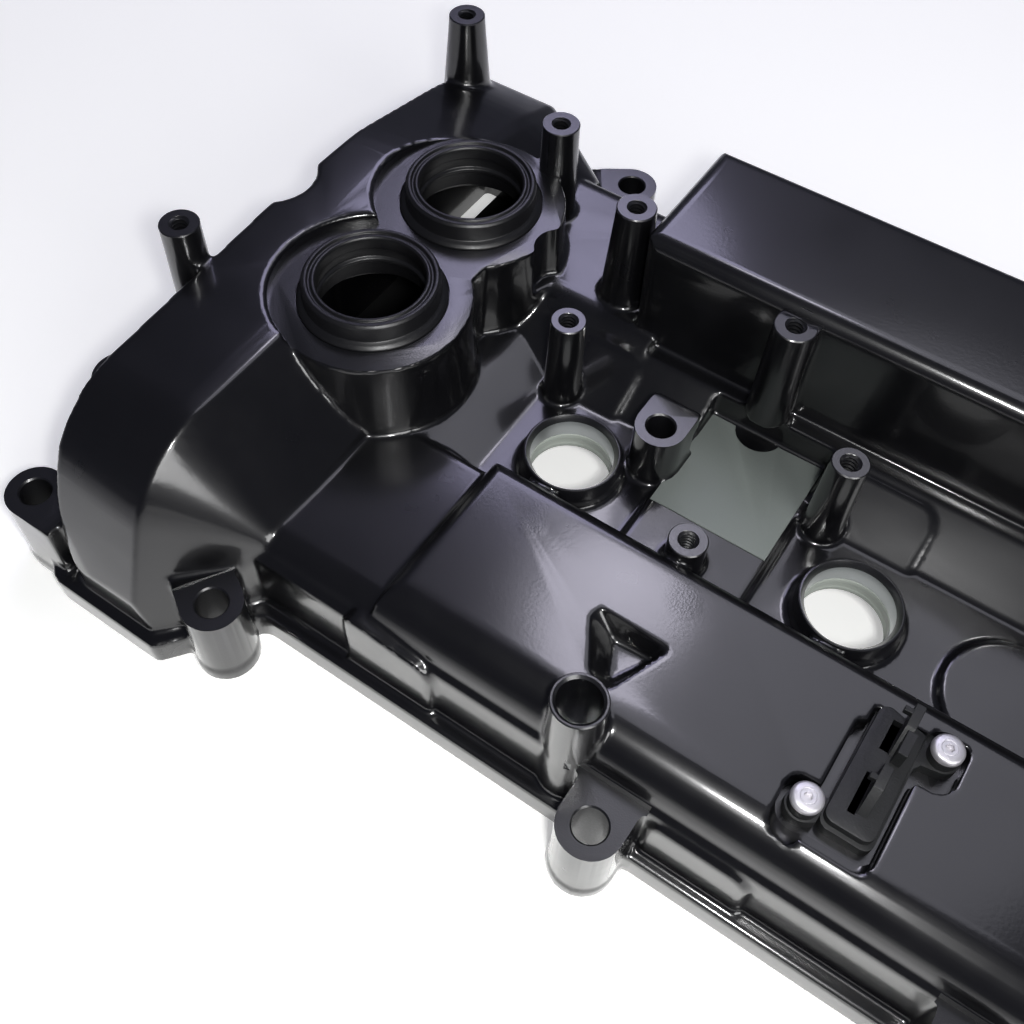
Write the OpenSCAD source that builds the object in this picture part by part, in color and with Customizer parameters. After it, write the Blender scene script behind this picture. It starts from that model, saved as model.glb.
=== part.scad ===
// Valve cover of an in-line engine with two camshafts and four plug wells: a one-piece
// die casting with its joint gasket, plug well seals, cam valve seals, oil baffles and
// harness clip. X runs along the engine, Y across it and Z up from the joint face. The
// layout is measured from the axis of the first plug well, then moved to the middle.

/* [Plug wells] */
// Distance between neighbouring plug wells
plug_pitch = 96; // [90:1:102]
// Radius of the bore that the plug tube and coil pass through
plug_bore_r = 13.4; // [12:0.1:14.5]
// Wall of the raised ring round each plug well
plug_ring_t = 2.2; // [1.6:0.1:3]
// Height of the ring above the plug floor
plug_ring_h = 8; // [5:0.5:11]

/* [Casting] */
// Thickness of the casting's walls
wall_t = 3.2; // [2.4:0.1:4]
// Height of the plug floor above the joint face
floor_z = 34; // [31:0.5:37]
// Height of the flange that runs round the joint face
rail_h = 10; // [8:0.5:12]
// Width of the joint face
rail_w = 8.6; // [8:0.1:10]
// Height of the low box in front of the plug wells
front_box_z = 46; // [44:0.5:50]
// Height of the tall box behind the plug wells
rear_box_z = 88; // [76:1:96]
// Height of the timing dome at the end
dome_z = 74; // [72:0.1:79]
// Distance from the first plug well to the flange at the dome end
dome_reach = 127.5; // [124:0.5:134]
// Distance from the last plug well to the flange at the plain end
tail_reach = 54; // [50:0.5:64]

/* [Cam valve seals] */
// Radius of the seals' outside above the face
valve_seal_r = 21.9; // [20:0.1:23]
// Radius of the hole through the seals
valve_seal_bore_r = 17.2; // [14:0.1:17.5]
// Height of the seals above the face
valve_seal_h = 8.2; // [6:0.1:10]
// Distance between the two seals
valve_pitch = 54; // [53:0.5:58]
// Height of the round-ended face that carries the seals
valve_face_z = 69.8; // [66:0.1:70.4]

/* [Posts and lugs] */
// Height of the tall threaded posts
post_z = 87; // [82:0.5:92]
// Radius of the tall threaded posts
post_r = 6.5; // [5.5:0.1:7]
// Height of the coil posts beside the plug wells
coil_post_z = 68; // [60:0.5:74]
// Radius of the posts' threaded holes
thread_r = 2.5; // [2:0.1:3]
// Depth of the posts' threaded holes
thread_depth = 14; // [8:0.5:18]
// Height of the bolt lugs round the flange
lug_z = 31; // [26:0.5:34]
// Radius of the bolt lugs
lug_r = 9.75; // [9:0.05:11]
// Radius of the bolt holes
bolt_r = 5.05; // [4:0.05:5.5]

/* [Gasket, baffles and clip] */
// Width of the gasket in the flange
gasket_w = 3.2; // [2.4:0.1:3.6]
// Thickness of the gasket, pressed flush with the joint face
gasket_h = 3; // [2:0.1:4]
// Thickness of the oil baffle plates
baffle_t = 1.5; // [1:0.1:2]
// Depth of the recess that the harness clip sits in
clip_recess = 6; // [4:0.1:7]
// Clearance between the loose pieces and the casting
fit_gap = 0.15; // [0.1:0.05:0.25]

/* [Hidden] */
$fn = 40;
plug_count = 4;
arc_step = 15;
fine_step = 7.5;
large_step = 5;
over = 1;
tall = 120;

// Ends and edges of the flange, from the first plug well's axis
x_left = -dome_reach;
x_right = (plug_count - 1) * plug_pitch + tail_reach;
y_front = -90.5;
y_rear = 113;
y_dome_front = -118.5;
y_dome_rear = 134;
y_lug_rear = 131.8;
left_lug = [x_left - 8.5, -60];
left_lug_r = 10;
left_lug_back = 17;
x_low = left_lug[0] - left_lug_r;
end_lug_x = x_right + 7;
lug_foot_h = 4;
lug_foot_grow = 0.6;
lug_pitch = 104;
lug_x = 66.7;
lug_back = 16;
x_high = end_lug_x + lug_r + lug_foot_grow;
y_low = y_dome_front;
y_high = y_lug_rear + lug_r + lug_foot_grow;

// Middle strip between the two boxes
slope_y = 26;
ledge_y = 45.5;
ledge_z = front_box_z;
rear_wall_y = 50.5;
platform_z = floor_z + 2.2;
platform_x = 48.2;
platform_w = 41.4;
strip_left = -24.5;
neck_z = floor_z + 6;
saddle_run = 19;
front_box_back = -17;
rear_neck_z = floor_z + 16;
front_box_x = [-19.8, x_right - 14];
rear_box_x = [-10, x_right - 22];
body_x = [x_left + 57.5, x_right - 7];

// Cam valve seals
valve_x = x_left + 52.5;
valve_y = [-3, -3 + valve_pitch];
housing_r = valve_seal_r + 10.3;
housing_foot_r = housing_r + 2.6;
waist_x = valve_x + 22;
waist_inset = 13;
pocket_gap = 0.4;
seat_r = valve_seal_r + 2.5;
seat_depth = 1.2;
scallop_at = [valve_x + 36.7, valve_y[1] - 1.7];
scallop_r = 8.5;
valve_hole_r = valve_seal_r + 0.3;
valve_hole_depth = 12;
seal_skirt = 9;

// Threaded posts: x, y, top, radius, foot radius, foot height
thread_sink = 0.7;
post_flare = 1.15;
rail_post = [x_left - 3.5, -26];
posts = [
    [x_left + 5.1, 116, post_z, post_r, post_r * 1.5, dome_z - 24],
    [rail_post[0], rail_post[1], post_z, post_r, post_r * 1.2, rail_h - over],
    [x_left + 66.7, 83.4, post_z, post_r, post_r * post_flare, 34],
    [-19.2, 62.5, post_z, post_r, post_r * 1.35, rear_neck_z - 6],
    [44.3, 45.5, post_z, post_r, post_r * post_flare, floor_z - over],
    [47.4, -12, floor_z + 14, post_r - 0.4, post_r, floor_z - over]
];
coil_post_y = 25;
coil_post_r = post_r - 0.8;
coil_posts = [for (i = [0 : plug_count - 1])
    [i * plug_pitch - 19.4, coil_post_y, coil_post_z, coil_post_r,
        coil_post_r * post_flare, floor_z - over]];

// Plain tube on the flange
tube_at = [50, -78];
tube_z = 58;
tube_r = 8.1;
tube_bore_r = 6.4;
tube_depth = 34;

// Bolt lugs: x, y, direction of the round end, distance back to the wall
lugs = [
    [x_left - 7.5, y_dome_front + 14.1, 180, lug_back],
    [x_left + 65.6, -102.6, -31.5, lug_back + 2],
    [x_left + 73.2, y_lug_rear, 33.5, lug_back],
    for (i = [0 : 2], s = [-1, 1])
        [lug_x + i * lug_pitch, s < 0 ? y_front - 5 : y_rear + 5, 90 * s, lug_back],
    [end_lug_x, -62, 0, lug_back],
    [end_lug_x, 84, 0, lug_back]
];
// Bolt boss inside the strip, with its round end to the front
inner_lug = [21.3, 15.8];
inner_lug_z = floor_z + 20;
inner_lug_r = 8.2;
inner_bolt_r = 4.5;
inner_lug_back = 12;

// Raised pads on the front wall: left end, right end, height at the right, height at the left
wall_pad_in = 4;
wall_pad = [
    [-25, 6.5, 34, 38],
    [79, 110, 31, 31]
];
// Raised pads on the slope: left end, right end
slope_pad_t = 2;
slope_pad_y = 42.5;
slope_pad = [
    [-19.4, 1.5],
    [plug_pitch - 19.4, 105.5]
];

// Raised disc on the plug floor
disc_at = [1.5 * plug_pitch + 2.5, 0];
disc_r = 20;

// Plug wells: a boss under the floor holds the seal, and the ring's mouth is chamfered
well_boss_t = plug_ring_t + 3;
well_low_z = floor_z - 7;
well_seal_h = 6.5;
well_seat_r = plug_bore_r + 2.6;
well_mouth_h = 2;
well_mouth_slope = 0.7;

// Baffles
baffle_z = floor_z - wall_t - 3;
baffle_margin = 1.5;
baffle_end = 7;
baffle_corner_r = 5;
rib_t = 2.5;
front_baffle = [[front_box_x[0] + baffle_end, y_front + 13.5], [front_box_x[1] - baffle_end, -20]];
rear_baffle = [[rear_box_x[0] + baffle_end, rear_wall_y + 4.5], [rear_box_x[1] - baffle_end, y_rear - 13]];
screw_rows = 4;
screw_side = 6.5;
screw_head_r = 4.2;
screw_head_h = 2.4;
screw_r = 1.9;
screw_len = 8;
screw_inset = 9;
boss_r = 4.6;

// Harness clip
clip_z = front_box_z - clip_recess;
clip_screws = [[110.5, -63.2], [135.4, -30.3]];
clip_ear_r = 5;
clip_top_z = front_box_z + 0.6;
clip_screw_r = 2;
clip_lo = [115.6, -65.6];
clip_hi = [129.9, -28.8];
hook_x = 124.5;
hook_y = [-29.4, -37.8, -50];
hook_z = front_box_z + 8;
clip_pocket_cut = [
    [104.2, -57.5, 4],
    [104.2, -75.6, 6],
    [113, -75.6, 1.5],
    [113, -72.7, 1],
    [131.7, -72.7, 4],
    [131.7, -42.4, 1.2],
    [141.3, -42.4, 6],
    [141.3, -24, 5],
    [112.5, -24, 5],
    [112.5, -57.5, 1]
];

// The gasket runs a little outside the middle of the joint face
gasket_shift = 0.3;

// Three-sided recess beside the tube, with sloping sides down to its floor
recess_depth = 8;
recess_floor = [
    [44.2, -47.6, 1],
    [50, -61, 1],
    [58, -46.5, 1]
];
recess_cut = [
    [38, -45.2, 0.5],
    [36.8, -48.8, 0.5],
    [45.4, -63.7, 0.5],
    [52.3, -65.6, 0.5],
    [60, -45.9, 1]
];

// Dome: where its roof breaks into the flank, and where the flank meets the neck
dome_left = x_left + 1.5;
crease_x = x_left + 42;
crease_soft = 5;
flank_foot_x = x_left + 69;
notch_at = [x_left - 8.6, 20.5];
notch_r = 15.3;

// Outline of the flange, counter-clockwise: x, y, corner radius
outline = [
    [x_left, y_dome_front, 10],
    [x_left + 49.9, y_dome_front, 3],
    [x_left + 71.5, y_front, 6],
    [x_right, y_front, 14],
    [x_right, y_rear, 14],
    [x_left + 71.5, y_rear, 6],
    [x_left + 57.5, y_dome_rear, 4],
    [x_left, y_dome_rear, 10]
];

// Outline functions
function cross2(a, b) = a[0] * b[1] - a[1] * b[0];
function flat(p) = [p[0], p[1]];
function left_of(v) = [-v[1], v[0]];
function edge_dir(c, i) =
    let (v = flat(c[(i + 1) % len(c)]) - flat(c[i])) v / norm(v);
function meet(p, d, q, e) = p + d * cross2(q - p, e) / cross2(d, e);

// Outline moved inwards by t, with its corner radii following
function inset(c, t) = [for (i = [0 : len(c) - 1])
    let (
        d = edge_dir(c, (i + len(c) - 1) % len(c)),
        e = edge_dir(c, i),
        q = meet(flat(c[i]) + left_of(d) * t, d, flat(c[i]) + left_of(e) * t, e)
    )
    [q[0], q[1], max(c[i][2] - t * sign(cross2(d, e)), 0.5)]];

// Points of an outline with each corner rounded
function rounded(c) = [for (i = [0 : len(c) - 1])
    let (
        d = edge_dir(c, (i + len(c) - 1) % len(c)),
        e = edge_dir(c, i),
        turn = atan2(cross2(d, e), d * e),
        side = turn > 0 ? 1 : -1,
        r = c[i][2],
        start = flat(c[i]) - d * r * tan(abs(turn) / 2),
        mid = start + left_of(d) * r * side,
        step = r > 30 ? large_step : r >= 5 ? fine_step : arc_step,
        steps = ceil(abs(turn) / step)
    )
    for (k = [0 : steps])
        let (a = turn * k / steps, v = start - mid)
        mid + [v[0] * cos(a) - v[1] * sin(a), v[0] * sin(a) + v[1] * cos(a)]];

// Half-round tab along +X with its straight sides running back
function tab(r, back) = concat(
    [for (a = [-90 : arc_step : 90]) r * [cos(a), sin(a)]],
    [[-back, r], [-back, -r]]);

// Profiles, counter-clockwise: y, z, corner radius
roof_cut = [
    [y_dome_front + 2, 0, 0.5],
    [y_dome_rear - 2, 0, 0.5],
    [130, dome_z - 20, 8],
    [104, dome_z - 9.5, 80],
    [52, dome_z, 90],
    [-40, dome_z - 1, 100],
    [y_dome_front + 21.9, dome_z + 0.6, 36]
];
shoulder_cut = [
    [y_dome_front - 5, 0, 0.5],
    [y_dome_rear - 6, 0, 0.5],
    [126, dome_z - 21, 8],
    [102, dome_z - 10, 80],
    [52, dome_z - 1, 90],
    [-40, dome_z - 1.5, 100],
    [y_dome_front + 24, dome_z, 36]
];
flank_cut = [
    [y_front + 8, 0, 0.5],
    [y_rear + 2, 0, 0.5],
    [y_rear + 0.5, rear_neck_z - 5, 8],
    [92, rear_neck_z - 0.6, 10],
    [y_front + 9, neck_z - 0.7, 6]
];
dome_plan = [
    [dome_left + 7.5, y_dome_front + 4, 12],
    [0, y_dome_front + 4, 0.5],
    [0, y_dome_rear - 1.5, 0.5],
    [dome_left, y_dome_rear - 1.5, 8],
    [dome_left, 8, 3]
];
front_box_cut = [
    [y_front + 5.1, 0, 0.5],
    [front_box_back + 0.5, 0, 0.5],
    [front_box_back - 0.2, front_box_z, 6],
    [y_front + 9, front_box_z, 13]
];
rear_box_cut = [
    [rear_wall_y, 0, 0.5],
    [y_rear - 5.5, 0, 0.5],
    [y_rear - 12, rear_box_z, 5],
    [rear_wall_y + 1, rear_box_z, 3.5]
];
front_neck_cut = [
    [y_front + 5.6, 0, 0.5],
    [-20, 0, 0.5],
    [-20, neck_z, 3],
    [y_front + 8, neck_z, 10]
];
rear_neck_cut = [
    [36, 0, 0.5],
    [y_rear - 4.5, 0, 0.5],
    [y_rear - 6, rear_neck_z, 6],
    [42, rear_neck_z, 14]
];
strip_cut = [
    [y_front + 5.6, 0, 0.5],
    [y_rear - 5, 0, 0.5],
    [y_rear - 5, ledge_z, 0.5],
    [ledge_y, ledge_z, 1.5],
    [slope_y, floor_z, 3],
    [y_front + 6, floor_z, 2]
];

function end_cut(x0, x1, z, r, lean) = [
    [x0, 0, 0.5],
    [x1, 0, 0.5],
    [x1 - lean, z, r],
    [x0 + lean, z, r]
];

// Helpers that lay a profile along X, along Y or upright
module along_x(c, x0, x1) {
    translate([x0, 0, 0])
        rotate([90, 0, 90])
            linear_extrude(x1 - x0)
                polygon(rounded(c));
}

module along_y(c, y0, y1) {
    translate([0, y1, 0])
        rotate([90, 0, 0])
            linear_extrude(y1 - y0)
                polygon(rounded(c));
}

module upright(c, z0, z1) {
    translate([0, 0, z0])
        linear_extrude(z1 - z0)
            polygon(rounded(c));
}

module block(lo, hi) {
    translate(lo)
        cube(hi - lo);
}

// Box rounded along both of its long and end edges
module cast_box(cut, ends, t) {
    intersection() {
        along_x(inset(cut, t), ends[0][0] - over, ends[1][0] + over);
        along_y(inset(ends, t), -tall, tall);
    }
}

// Thin slice of a profile, for the dome's lofted body
module slice(c, x) {
    translate([x, 0, 0])
        rotate([90, 0, 90])
            linear_extrude(0.4)
                polygon(rounded(c));
}

// Roof profile run along X, then lofted from the crease down to the flank's foot
module dome(t) {
    lean = 0.7 * t;
    intersection() {
        hull() {
            slice(inset(roof_cut, t), x_left - over);
            slice(inset(roof_cut, t), crease_x - crease_soft - lean);
            slice(inset(shoulder_cut, t), crease_x - lean);
            slice(inset(flank_cut, t), flank_foot_x - lean);
        }
        upright(inset(dome_plan, t), -over, tall);
    }
}

module housing(t) {
    top = t > 0 ? valve_face_z - valve_hole_depth : valve_face_z;
    for (y = valve_y)
        translate([valve_x, y, -over])
            cylinder(h = top + over, r1 = housing_foot_r - t, r2 = housing_r - t);
    block([valve_x, valve_y[0] + waist_inset, -over], [waist_x - t, valve_y[1] - waist_inset, top]);
}

module saddle(t) {
    along_y(inset([[body_x[0], 0, 0.5], [strip_left, 0, 0.5], [strip_left, floor_z, 0.5],
        [strip_left - saddle_run, neck_z, 30], [body_x[0], neck_z, 0.5]], t), -30, 40);
}

module masses(t) {
    dome(t);
    housing(t);
    saddle(t);
    along_x(inset(strip_cut, t), body_x[0] + t, body_x[1] - t);
    along_x(inset(front_neck_cut, t), body_x[0] + t, front_box_x[0] + 10 - t);
    along_x(inset(rear_neck_cut, t), body_x[0] + t, rear_box_x[0] + 10 - t);
    cast_box(front_box_cut, end_cut(front_box_x[0], front_box_x[1], front_box_z, 5, 2.5), t);
    cast_box(rear_box_cut, end_cut(rear_box_x[0], rear_box_x[1], rear_box_z, 4, 3), t);
}

module platform(t) {
    block([platform_x - platform_w / 2 + t, front_box_back - over + t, -over],
        [platform_x + platform_w / 2 - t, ledge_y + over, platform_z - t]);
}

// Bolt lug on the flange, with its straight sides running back into the wall
module lug(l, grow, h) {
    translate([l[0], l[1], 0])
        rotate([0, 0, l[2]])
            linear_extrude(h)
                polygon(tab(lug_r + grow, l[3]));
}

// Raised pads on the front wall, above the flange
module wall_pads() {
    for (p = wall_pad)
        along_y([[p[0], rail_h - over, 0.5], [p[1], rail_h - over, 0.5], [p[1], p[2], 7],
            [p[0], p[3], 5]], y_front + wall_pad_in, y_front + 14);
}

// Raised pads on the slope behind the plug wells
module slope_pads() {
    rise = slope_pad_t * (ledge_z - floor_z) / (ledge_y - slope_y);
    for (p = slope_pad)
        intersection() {
            along_x([[slope_y - slope_pad_t, floor_z - over, 0.5], [ledge_y + over, floor_z - over, 0.5],
                [ledge_y + over, ledge_z + rise, 0.5], [slope_y - slope_pad_t, floor_z, 0.5]], p[0], p[1]);
            upright([[p[0], slope_y - 3, 0.5], [p[1], slope_y - 3, 0.5], [p[1], slope_pad_y, 6],
                [p[0], slope_pad_y, 0.5]], 0, tall);
        }
}

module posts_solid() {
    for (p = concat(posts, coil_posts))
        translate([p[0], p[1], p[5]])
            cylinder(h = p[2] - p[5], r1 = p[4], r2 = p[3]);
    translate([tube_at[0], tube_at[1], rail_h - over])
        cylinder(h = tube_z - rail_h + over, r1 = tube_r + 1, r2 = tube_r);
}

module outside() {
    upright(outline, 0, rail_h);
    masses(0);
    platform(0);
    for (l = lugs) {
        lug(l, 0, lug_z);
        lug(l, lug_foot_grow, lug_foot_h);
    }
    translate([left_lug[0], left_lug[1], 0])
        rotate([0, 0, 180])
            linear_extrude(front_box_z - over)
                polygon(tab(left_lug_r, left_lug_back));
    translate([inner_lug[0], inner_lug[1], floor_z - over])
        rotate([0, 0, -90])
            linear_extrude(inner_lug_z - floor_z + over)
                polygon(tab(inner_lug_r, inner_lug_back));
    translate([rail_post[0], rail_post[1], 0])
        cylinder(h = rail_h + 2, r = post_r + 3);
    translate([disc_at[0], disc_at[1], floor_z - over])
        cylinder(h = platform_z - floor_z + over, r = disc_r);
    wall_pads();
    slope_pads();
    posts_solid();
}

module strip_relief(t) {
    // Flat above the platform, where the slope is left out
    block([platform_x - platform_w / 2 - t, slope_y - over - t, platform_z - t],
        [platform_x + platform_w / 2 + t, ledge_y - 0.5 + t, ledge_z + over]);
}

module valve_pocket() {
    for (y = valve_y)
        translate([valve_x, y, valve_face_z])
            cylinder(h = tall - valve_face_z, r = housing_r + pocket_gap);
    block([valve_x, valve_y[0] + waist_inset, valve_face_z],
        [waist_x + over, valve_y[1] - waist_inset, tall]);
}

module notch(r, z0) {
    translate([notch_at[0], notch_at[1], z0])
        cylinder(h = tall - z0, r = r);
}

// Shallow scoop in the side of the housing
module scallop(r, z0) {
    translate([scallop_at[0], scallop_at[1], z0])
        cylinder(h = tall - z0, r = r);
}

// Three-sided recess, drawn narrower at its floor
module recess() {
    z0 = front_box_z - recess_depth;
    hull() {
        upright(recess_floor, z0, z0 + 0.2);
        upright(recess_cut, front_box_z - 0.2, front_box_z + over);
    }
}

// What the hollow keeps clear of, so that each cut in the top has a wall behind it
module backing() {
    notch(notch_r + wall_t, -over * 2);
    scallop(scallop_r + wall_t, rear_neck_z - wall_t);
    strip_relief(wall_t);
    for (y = valve_y)
        translate([valve_x, y, valve_face_z - valve_hole_depth])
            cylinder(h = tall - valve_face_z, r = housing_r + wall_t + pocket_gap);
    upright(inset(clip_pocket_cut, -wall_t), clip_z - wall_t, tall);
    upright(inset(recess_cut, -wall_t), front_box_z - recess_depth - wall_t, tall);
}

// Space under the cover, open at the joint face
module hollow() {
    difference() {
        intersection() {
            union() {
                masses(wall_t);
                upright(inset(outline, rail_w), -over, rail_h - over);
            }
            upright(inset(outline, rail_w), -over, tall);
        }
        backing();
    }
}

module well_bosses() {
    for (i = [0 : plug_count - 1])
        translate([i * plug_pitch, 0, well_low_z]) {
            cylinder(h = floor_z - well_low_z, r = plug_bore_r + well_boss_t);
            cylinder(h = floor_z + plug_ring_h - well_low_z, r = plug_bore_r + plug_ring_t);
        }
    translate([inner_lug[0], inner_lug[1], 0])
        cylinder(h = floor_z, r = inner_lug_r + 0.4);
}

function frame_screws(b) = [for (i = [0 : screw_rows - 1], s = [0, 1])
    [b[0][0] + screw_inset + (b[1][0] - b[0][0] - 2 * screw_inset) * i / (screw_rows - 1),
        s == 0 ? b[0][1] + screw_side : b[1][1] - screw_side]];

// Frame and screw bosses that a baffle plate is fixed to
module baffle_seat(b, roof_z) {
    difference() {
        block([b[0][0] + baffle_margin, b[0][1] + baffle_margin, baffle_z],
            [b[1][0] - baffle_margin, b[1][1] - baffle_margin, floor_z - over]);
        block([b[0][0] + baffle_margin + rib_t, b[0][1] + baffle_margin + rib_t, baffle_z - over],
            [b[1][0] - baffle_margin - rib_t, b[1][1] - baffle_margin - rib_t, floor_z]);
    }
    for (p = frame_screws(b))
        translate([p[0], p[1], baffle_z])
            cylinder(h = roof_z - wall_t / 2 - baffle_z, r = boss_r);
}

module bores() {
    for (i = [0 : plug_count - 1])
        translate([i * plug_pitch, 0, well_low_z - over]) {
            cylinder(h = tall, r = plug_bore_r);
            cylinder(h = well_seal_h + fit_gap + over, r = well_seat_r + fit_gap);
            translate([0, 0, floor_z + plug_ring_h - well_mouth_h - well_low_z + over])
                cylinder(h = 2 * well_mouth_h, r1 = plug_bore_r,
                    r2 = plug_bore_r + 2 * well_mouth_h * well_mouth_slope);
        }
    for (y = valve_y) {
        translate([valve_x, y, valve_face_z - valve_hole_depth - over])
            cylinder(h = valve_hole_depth + over * 2, r = valve_hole_r);
        translate([valve_x, y, valve_face_z - seat_depth])
            cylinder(h = tall - valve_face_z, r = seat_r);
    }
    for (l = lugs)
        translate([l[0], l[1], -over])
            cylinder(h = tall, r = bolt_r);
    translate([left_lug[0], left_lug[1], -over])
        cylinder(h = tall, r = bolt_r);
    translate([inner_lug[0], inner_lug[1], -over])
        cylinder(h = tall, r = inner_bolt_r);
    for (p = concat(posts, coil_posts))
        translate([p[0], p[1], p[2] - thread_depth])
            cylinder(h = thread_depth + over, r = thread_r);
    for (p = posts)
        translate([p[0], p[1], p[2] - thread_sink])
            cylinder(h = thread_sink + over, r1 = thread_r, r2 = thread_r + thread_sink + over);
    translate([tube_at[0], tube_at[1], tube_z - tube_depth])
        cylinder(h = tube_depth + over, r = tube_bore_r);
    for (b = [front_baffle, rear_baffle], p = frame_screws(b))
        translate([p[0], p[1], baffle_z - over])
            cylinder(h = screw_len + over * 2, r = screw_r + fit_gap);
    for (p = clip_screws)
        translate([p[0], p[1], clip_z - 3.2])
            cylinder(h = 12, r = clip_screw_r + fit_gap);
}

module gasket_groove() {
    difference() {
        upright(inset(outline, (rail_w - gasket_w) / 2 - fit_gap - gasket_shift), -over,
            gasket_h + fit_gap);
        upright(inset(outline, (rail_w + gasket_w) / 2 + fit_gap - gasket_shift), -over * 2, tall);
    }
}

module cover_casting() {
    color([0.06, 0.06, 0.07])
        difference() {
            union() {
                difference() {
                    outside();
                    strip_relief(0);
                    valve_pocket();
                    notch(notch_r, rail_h);
                    scallop(scallop_r, rear_neck_z);
                    hollow();
                }
                well_bosses();
                baffle_seat(front_baffle, front_box_z);
                baffle_seat(rear_baffle, rear_box_z);
            }
            bores();
            gasket_groove();
            upright(clip_pocket_cut, clip_z, tall);
            recess();
        }
}

module perimeter_gasket() {
    color([0.16, 0.16, 0.17])
        difference() {
            upright(inset(outline, (rail_w - gasket_w) / 2 - gasket_shift), 0, gasket_h);
            upright(inset(outline, (rail_w + gasket_w) / 2 - gasket_shift), -over, gasket_h + over);
        }
}

module plug_well_seal(i) {
    r = well_seat_r;
    b = plug_bore_r - 0.2;
    h = well_seal_h;
    color([0.5, 0.52, 0.5])
        translate([i * plug_pitch, 0, well_low_z])
            rotate_extrude()
                polygon([[b, 0.4], [r - 0.5, 0.4], [r, 0.9], [r, h], [b, h]]);
}

module cam_valve_seal(i) {
    r = valve_seal_r;
    b = valve_seal_bore_r;
    h = valve_seal_h;
    color([0.1, 0.1, 0.11])
        translate([valve_x, valve_y[i], valve_face_z])
            rotate_extrude($fn = 64)
                polygon([
                    [b + 1.6, -seal_skirt], [r + 0.15, -seal_skirt], [r + 0.15, -seat_depth],
                    [r + 2.2, -seat_depth], [r + 2.2, 0.3], [r + 1.2, 1.2], [r, 1.9],
                    [r, h - 1], [r - 0.8, h], [r - 2, h], [r - 2.2, h - 0.8],
                    [r - 3.2, h - 0.8], [r - 3.4, h - 0.2], [b + 0.5, h - 0.2],
                    [b, h - 0.9], [b, 3.4], [b + 1, 2.8], [b + 1, -0.6], [b, -1.2],
                    [b, -2.6], [b + 1.6, -3.6]
                ]);
}

module baffle_plate(b) {
    color([0.55, 0.56, 0.58])
        difference() {
            translate([0, 0, baffle_z - baffle_t])
                linear_extrude(baffle_t)
                    polygon(rounded([for (c = [[0, 0], [1, 0], [1, 1], [0, 1]])
                        [b[c[0]][0], b[c[1]][1], baffle_corner_r]]));
            for (p = frame_screws(b))
                translate([p[0], p[1], baffle_z - baffle_t - over])
                    cylinder(h = baffle_t + 2 * over, r = screw_r + 0.4);
        }
}

module baffle_screws(b) {
    color([0.7, 0.7, 0.72])
        for (p = frame_screws(b))
            translate([p[0], p[1], baffle_z - baffle_t]) {
                translate([0, 0, -screw_head_h])
                    cylinder(h = screw_head_h, r1 = screw_head_r - 0.8, r2 = screw_head_r);
                cylinder(h = screw_len + baffle_t - over, r = screw_r);
            }
}

module hook(y) {
    translate([hook_x - 1.1, y - 3.5, clip_z])
        cube([2.2, 7, hook_z - clip_z]);
    translate([hook_x - 4.2, y + 0.5, hook_z - 2.2])
        cube([4, 2.4, 1.6]);
}

module harness_clip() {
    color([0.08, 0.08, 0.09])
        difference() {
            union() {
                block([clip_lo[0], clip_lo[1], clip_z], [clip_hi[0], clip_hi[1], clip_top_z - 1]);
                block([clip_lo[0] + 1, clip_lo[1] + 1, clip_z],
                    [clip_hi[0] - 1, clip_hi[1] - 1, clip_top_z]);
                for (p = clip_screws)
                    translate([p[0], p[1], clip_z])
                        cylinder(h = clip_recess, r = clip_ear_r);
                block([clip_screws[0][0], clip_screws[0][1] - 2, clip_z],
                    [clip_lo[0] + 2, clip_screws[0][1] + 4, front_box_z]);
                block([clip_hi[0] - 2, clip_screws[1][1] - 4, clip_z],
                    [clip_screws[1][0], clip_screws[1][1] + 3, front_box_z]);
                for (y = hook_y)
                    hook(y);
            }
            for (p = clip_screws)
                translate([p[0], p[1], clip_z - over])
                    cylinder(h = clip_recess + 2 * over, r = clip_screw_r + 0.3);
            for (y = hook_y)
                block([hook_x - 3.8, y - 3.2, clip_z + 1.5], [hook_x - 1.1, y + 2.6, hook_z - 3]);
        }
}

module harness_clip_screws() {
    color([0.8, 0.8, 0.81])
        for (p = clip_screws)
            translate([p[0], p[1], front_box_z]) {
                difference() {
                    cylinder(h = 2.2, r1 = 4.5, r2 = 3.2);
                    translate([0, 0, 1])
                        cylinder(h = 2, r = 1.4, $fn = 6);
                }
                translate([0, 0, -clip_recess - 3])
                    cylinder(h = clip_recess + 3.5, r = clip_screw_r);
            }
}

module placed() {
    translate([-(x_low + x_high) / 2, -(y_low + y_high) / 2, 0])
        children();
}

placed() cover_casting();
placed() perimeter_gasket();
placed() plug_well_seal(0);  // plug_well_seal_1
placed() plug_well_seal(1);  // plug_well_seal_2
placed() plug_well_seal(2);  // plug_well_seal_3
placed() plug_well_seal(3);  // plug_well_seal_4
placed() cam_valve_seal(0);  // cam_valve_seal_1
placed() cam_valve_seal(1);  // cam_valve_seal_2
placed() baffle_plate(front_baffle);  // front_baffle_plate
placed() baffle_plate(rear_baffle);  // rear_baffle_plate
placed() baffle_screws(front_baffle);  // front_baffle_screws
placed() baffle_screws(rear_baffle);  // rear_baffle_screws
placed() harness_clip();
placed() harness_clip_screws();
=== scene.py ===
"""Dresses the CAD frame of a die-cast engine valve cover: the cast skin with its fillets and
machined faces, the seals, the oil baffles with their screws and the harness clip."""

import math

import bmesh
import bpy
from bpy.props import FloatProperty, FloatVectorProperty, IntProperty, PointerProperty
from bpy.types import Operator, Panel, PropertyGroup
from mathutils import Matrix, Vector


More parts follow.
